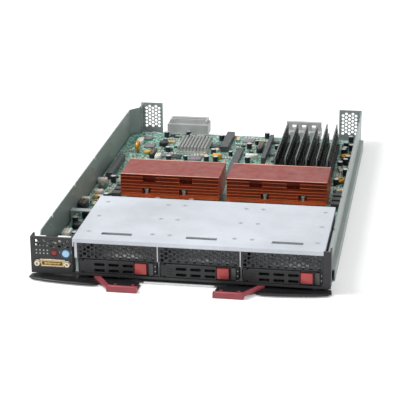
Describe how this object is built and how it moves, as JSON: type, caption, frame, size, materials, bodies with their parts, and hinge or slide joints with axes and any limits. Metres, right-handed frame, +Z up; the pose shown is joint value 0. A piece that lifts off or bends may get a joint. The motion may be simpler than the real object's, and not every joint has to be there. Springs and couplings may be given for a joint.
{
  "type": "blade server",
  "caption": "Open blade server module: steel tray with drive carriers behind a front bezel, finned copper processor coolers, memory modules and ejector levers.",
  "frame": {"origin": "centre of the footprint at the underside", "axes": "+X to the right seen from the front, +Y from the front bezel to the rear connectors, +Z up"},
  "size_m": [0.2904, 0.494, 0.0424],
  "materials": {
    "tray_steel": "galvanised sheet",
    "bracket_steel": "galvanised sheet",
    "cage_steel": "bright plated sheet",
    "cover_steel": "bright plated sheet, fine grain",
    "screw_steel": "bright plated",
    "bezel_plastic": "fine moulded texture",
    "black_steel": "black powder coat",
    "carrier_plastic": "moulded",
    "drive_metal": "cast and brushed",
    "button_red": "moulded, dark red",
    "power_red": "moulded, dark red",
    "monitor_blue": "moulded, pale blue",
    "light_clear": "clear light pipes",
    "board_green": "solder mask",
    "socket_black": "moulded",
    "connector_shell": "plated shell",
    "jack_metal": "plated",
    "lever_black": "black coat",
    "grip_red": "moulded, burgundy",
    "socket_cream": "moulded",
    "lid_metal": "nickel plated",
    "copper_fins": "bare copper sheet, red-brown",
    "module_black": "black board and chips",
    "latch_grey": "moulded",
    "connector_grey": "moulded with plated shields",
    "inductor_gold": "enamelled winding",
    "part_grey": "moulded parts",
    "cooler_alu": "extruded"
  },
  "bodies": {
    "chassis": {"chassis_tray": "tray_steel", "rear_bracket_left": "bracket_steel", "rear_bracket_right": "bracket_steel", "drive_cage": "cage_steel", "cage_cover": "cover_steel", "case_screws": "screw_steel", "front_bezel": "bezel_plastic", "bay_frame": "bezel_plastic", "vent_grilles": "black_steel", "drive_backplane": "board_green", "backplane_sockets": "socket_black", "control_board": "board_green", "status_lights": "light_clear", "console_connector": "connector_shell", "jack_screws": "jack_metal", "main_board": "board_green", "board_standoffs": "jack_metal", "processor_sockets": "socket_cream", "processors": "lid_metal", "heat_sink_left": "copper_fins", "heat_sink_right": "copper_fins", "heat_sink_screws": "screw_steel", "memory_sockets": "socket_black", "memory_modules": "module_black", "signal_connector": "connector_grey", "power_connector": "connector_grey", "power_inductors": "inductor_gold", "board_parts": "part_grey", "chipset_cooler": "cooler_alu", "channel_bridge": "bracket_steel"},
    "carrier_1": {"drive_carrier_1": "carrier_plastic", "drive_1": "drive_metal"},
    "handle_1": {"carrier_handle_1": "carrier_plastic"},
    "release_1": {"release_button_1": "button_red"},
    "carrier_2": {"drive_carrier_2": "carrier_plastic", "drive_2": "drive_metal"},
    "handle_2": {"carrier_handle_2": "carrier_plastic"},
    "release_2": {"release_button_2": "button_red"},
    "carrier_3": {"drive_carrier_3": "carrier_plastic", "drive_3": "drive_metal"},
    "handle_3": {"carrier_handle_3": "carrier_plastic"},
    "release_3": {"release_button_3": "button_red"},
    "lever_left": {"ejector_lever_left": "lever_black"},
    "grip_left": {"lever_grip_left": "grip_red"},
    "lever_right": {"ejector_lever_right": "lever_black"},
    "grip_right": {"lever_grip_right": "grip_red"},
    "power_key": {"power_button": "power_red"},
    "monitor_key": {"monitor_button": "monitor_blue"},
    "front_clip_1": {"front_latch_1": "latch_grey"},
    "front_clip_2": {"front_latch_2": "latch_grey"},
    "front_clip_3": {"front_latch_3": "latch_grey"},
    "front_clip_4": {"front_latch_4": "latch_grey"},
    "front_clip_5": {"front_latch_5": "latch_grey"},
    "front_clip_6": {"front_latch_6": "latch_grey"},
    "rear_clip_1": {"rear_latch_1": "latch_grey"},
    "rear_clip_2": {"rear_latch_2": "latch_grey"},
    "rear_clip_3": {"rear_latch_3": "latch_grey"},
    "rear_clip_4": {"rear_latch_4": "latch_grey"},
    "rear_clip_5": {"rear_latch_5": "latch_grey"},
    "rear_clip_6": {"rear_latch_6": "latch_grey"}
  },
  "joints": [
    {"name": "carrier_1_slide", "type": "slide", "parent": "chassis", "child": "carrier_1", "axis": [0, -1, 0], "range_m": [0, 0.095]},
    {"name": "handle_1_hinge", "type": "hinge", "parent": "carrier_1", "child": "handle_1", "pos_m": [-0.0951, -0.21915, 0.008], "axis": [0, 0, -1], "range_deg": [0, 60]},
    {"name": "release_1_press", "type": "slide", "parent": "carrier_1", "child": "release_1", "axis": [0, 1, 0], "range_m": [0, 0.0015], "stiffness_N_per_m": 1500, "springref_m": -0.0008},
    {"name": "carrier_2_slide", "type": "slide", "parent": "chassis", "child": "carrier_2", "axis": [0, -1, 0], "range_m": [0, 0.095]},
    {"name": "handle_2_hinge", "type": "hinge", "parent": "carrier_2", "child": "handle_2", "pos_m": [-0.0161, -0.21915, 0.008], "axis": [0, 0, -1], "range_deg": [0, 60]},
    {"name": "release_2_press", "type": "slide", "parent": "carrier_2", "child": "release_2", "axis": [0, 1, 0], "range_m": [0, 0.0015], "stiffness_N_per_m": 1500, "springref_m": -0.0008},
    {"name": "carrier_3_slide", "type": "slide", "parent": "chassis", "child": "carrier_3", "axis": [0, -1, 0], "range_m": [0, 0.095]},
    {"name": "handle_3_hinge", "type": "hinge", "parent": "carrier_3", "child": "handle_3", "pos_m": [0.0629, -0.21915, 0.008], "axis": [0, 0, -1], "range_deg": [0, 60]},
    {"name": "release_3_press", "type": "slide", "parent": "carrier_3", "child": "release_3", "axis": [0, 1, 0], "range_m": [0, 0.0015], "stiffness_N_per_m": 1500, "springref_m": -0.0008},
    {"name": "lever_left_hinge", "type": "hinge", "parent": "chassis", "child": "lever_left", "pos_m": [-0.12825, -0.21295, 0.0012], "axis": [0, 0, -1], "range_deg": [0, 50]},
    {"name": "grip_left_squeeze", "type": "slide", "parent": "lever_left", "child": "grip_left", "axis": [0, 1, 0], "range_m": [0, 0.002], "stiffness_N_per_m": 1500, "springref_m": -0.001},
    {"name": "lever_right_hinge", "type": "hinge", "parent": "chassis", "child": "lever_right", "pos_m": [0.12825, -0.21295, 0.0012], "axis": [0, 0, 1], "range_deg": [0, 50]},
    {"name": "grip_right_squeeze", "type": "slide", "parent": "lever_right", "child": "grip_right", "axis": [0, 1, 0], "range_m": [0, 0.002], "stiffness_N_per_m": 1500, "springref_m": -0.001},
    {"name": "power_press", "type": "slide", "parent": "chassis", "child": "power_key", "axis": [0, 1, 0], "range_m": [0, 0.001], "stiffness_N_per_m": 1500, "springref_m": -0.0008},
    {"name": "monitor_press", "type": "slide", "parent": "chassis", "child": "monitor_key", "axis": [0, 1, 0], "range_m": [0, 0.001], "stiffness_N_per_m": 1500, "springref_m": -0.0008},
    {"name": "front_latch_1_swing", "type": "hinge", "parent": "chassis", "child": "front_clip_1", "pos_m": [0.0572, 0.05305, 0.0102], "axis": [1, 0, 0], "range_deg": [0, 30]},
    {"name": "front_latch_2_swing", "type": "hinge", "parent": "chassis", "child": "front_clip_2", "pos_m": [0.0688, 0.05305, 0.0102], "axis": [1, 0, 0], "range_deg": [0, 30]},
    {"name": "front_latch_3_swing", "type": "hinge", "parent": "chassis", "child": "front_clip_3", "pos_m": [0.0804, 0.05305, 0.0102], "axis": [1, 0, 0], "range_deg": [0, 30]},
    {"name": "front_latch_4_swing", "type": "hinge", "parent": "chassis", "child": "front_clip_4", "pos_m": [0.092, 0.05305, 0.0102], "axis": [1, 0, 0], "range_deg": [0, 30]},
    {"name": "front_latch_5_swing", "type": "hinge", "parent": "chassis", "child": "front_clip_5", "pos_m": [0.1036, 0.05305, 0.0102], "axis": [1, 0, 0], "range_deg": [0, 30]},
    {"name": "front_latch_6_swing", "type": "hinge", "parent": "chassis", "child": "front_clip_6", "pos_m": [0.1152, 0.05305, 0.0102], "axis": [1, 0, 0], "range_deg": [0, 30]},
    {"name": "rear_latch_1_swing", "type": "hinge", "parent": "chassis", "child": "rear_clip_1", "pos_m": [0.0572, 0.1974, 0.0102], "axis": [-1, 0, 0], "range_deg": [0, 30]},
    {"name": "rear_latch_2_swing", "type": "hinge", "parent": "chassis", "child": "rear_clip_2", "pos_m": [0.0688, 0.1974, 0.0102], "axis": [-1, 0, 0], "range_deg": [0, 30]},
    {"name": "rear_latch_3_swing", "type": "hinge", "parent": "chassis", "child": "rear_clip_3", "pos_m": [0.0804, 0.1974, 0.0102], "axis": [-1, 0, 0], "range_deg": [0, 30]},
    {"name": "rear_latch_4_swing", "type": "hinge", "parent": "chassis", "child": "rear_clip_4", "pos_m": [0.092, 0.1974, 0.0102], "axis": [-1, 0, 0], "range_deg": [0, 30]},
    {"name": "rear_latch_5_swing", "type": "hinge", "parent": "chassis", "child": "rear_clip_5", "pos_m": [0.1036, 0.1974, 0.0102], "axis": [-1, 0, 0], "range_deg": [0, 30]},
    {"name": "rear_latch_6_swing", "type": "hinge", "parent": "chassis", "child": "rear_clip_6", "pos_m": [0.1152, 0.1974, 0.0102], "axis": [-1, 0, 0], "range_deg": [0, 30]}
  ]
}
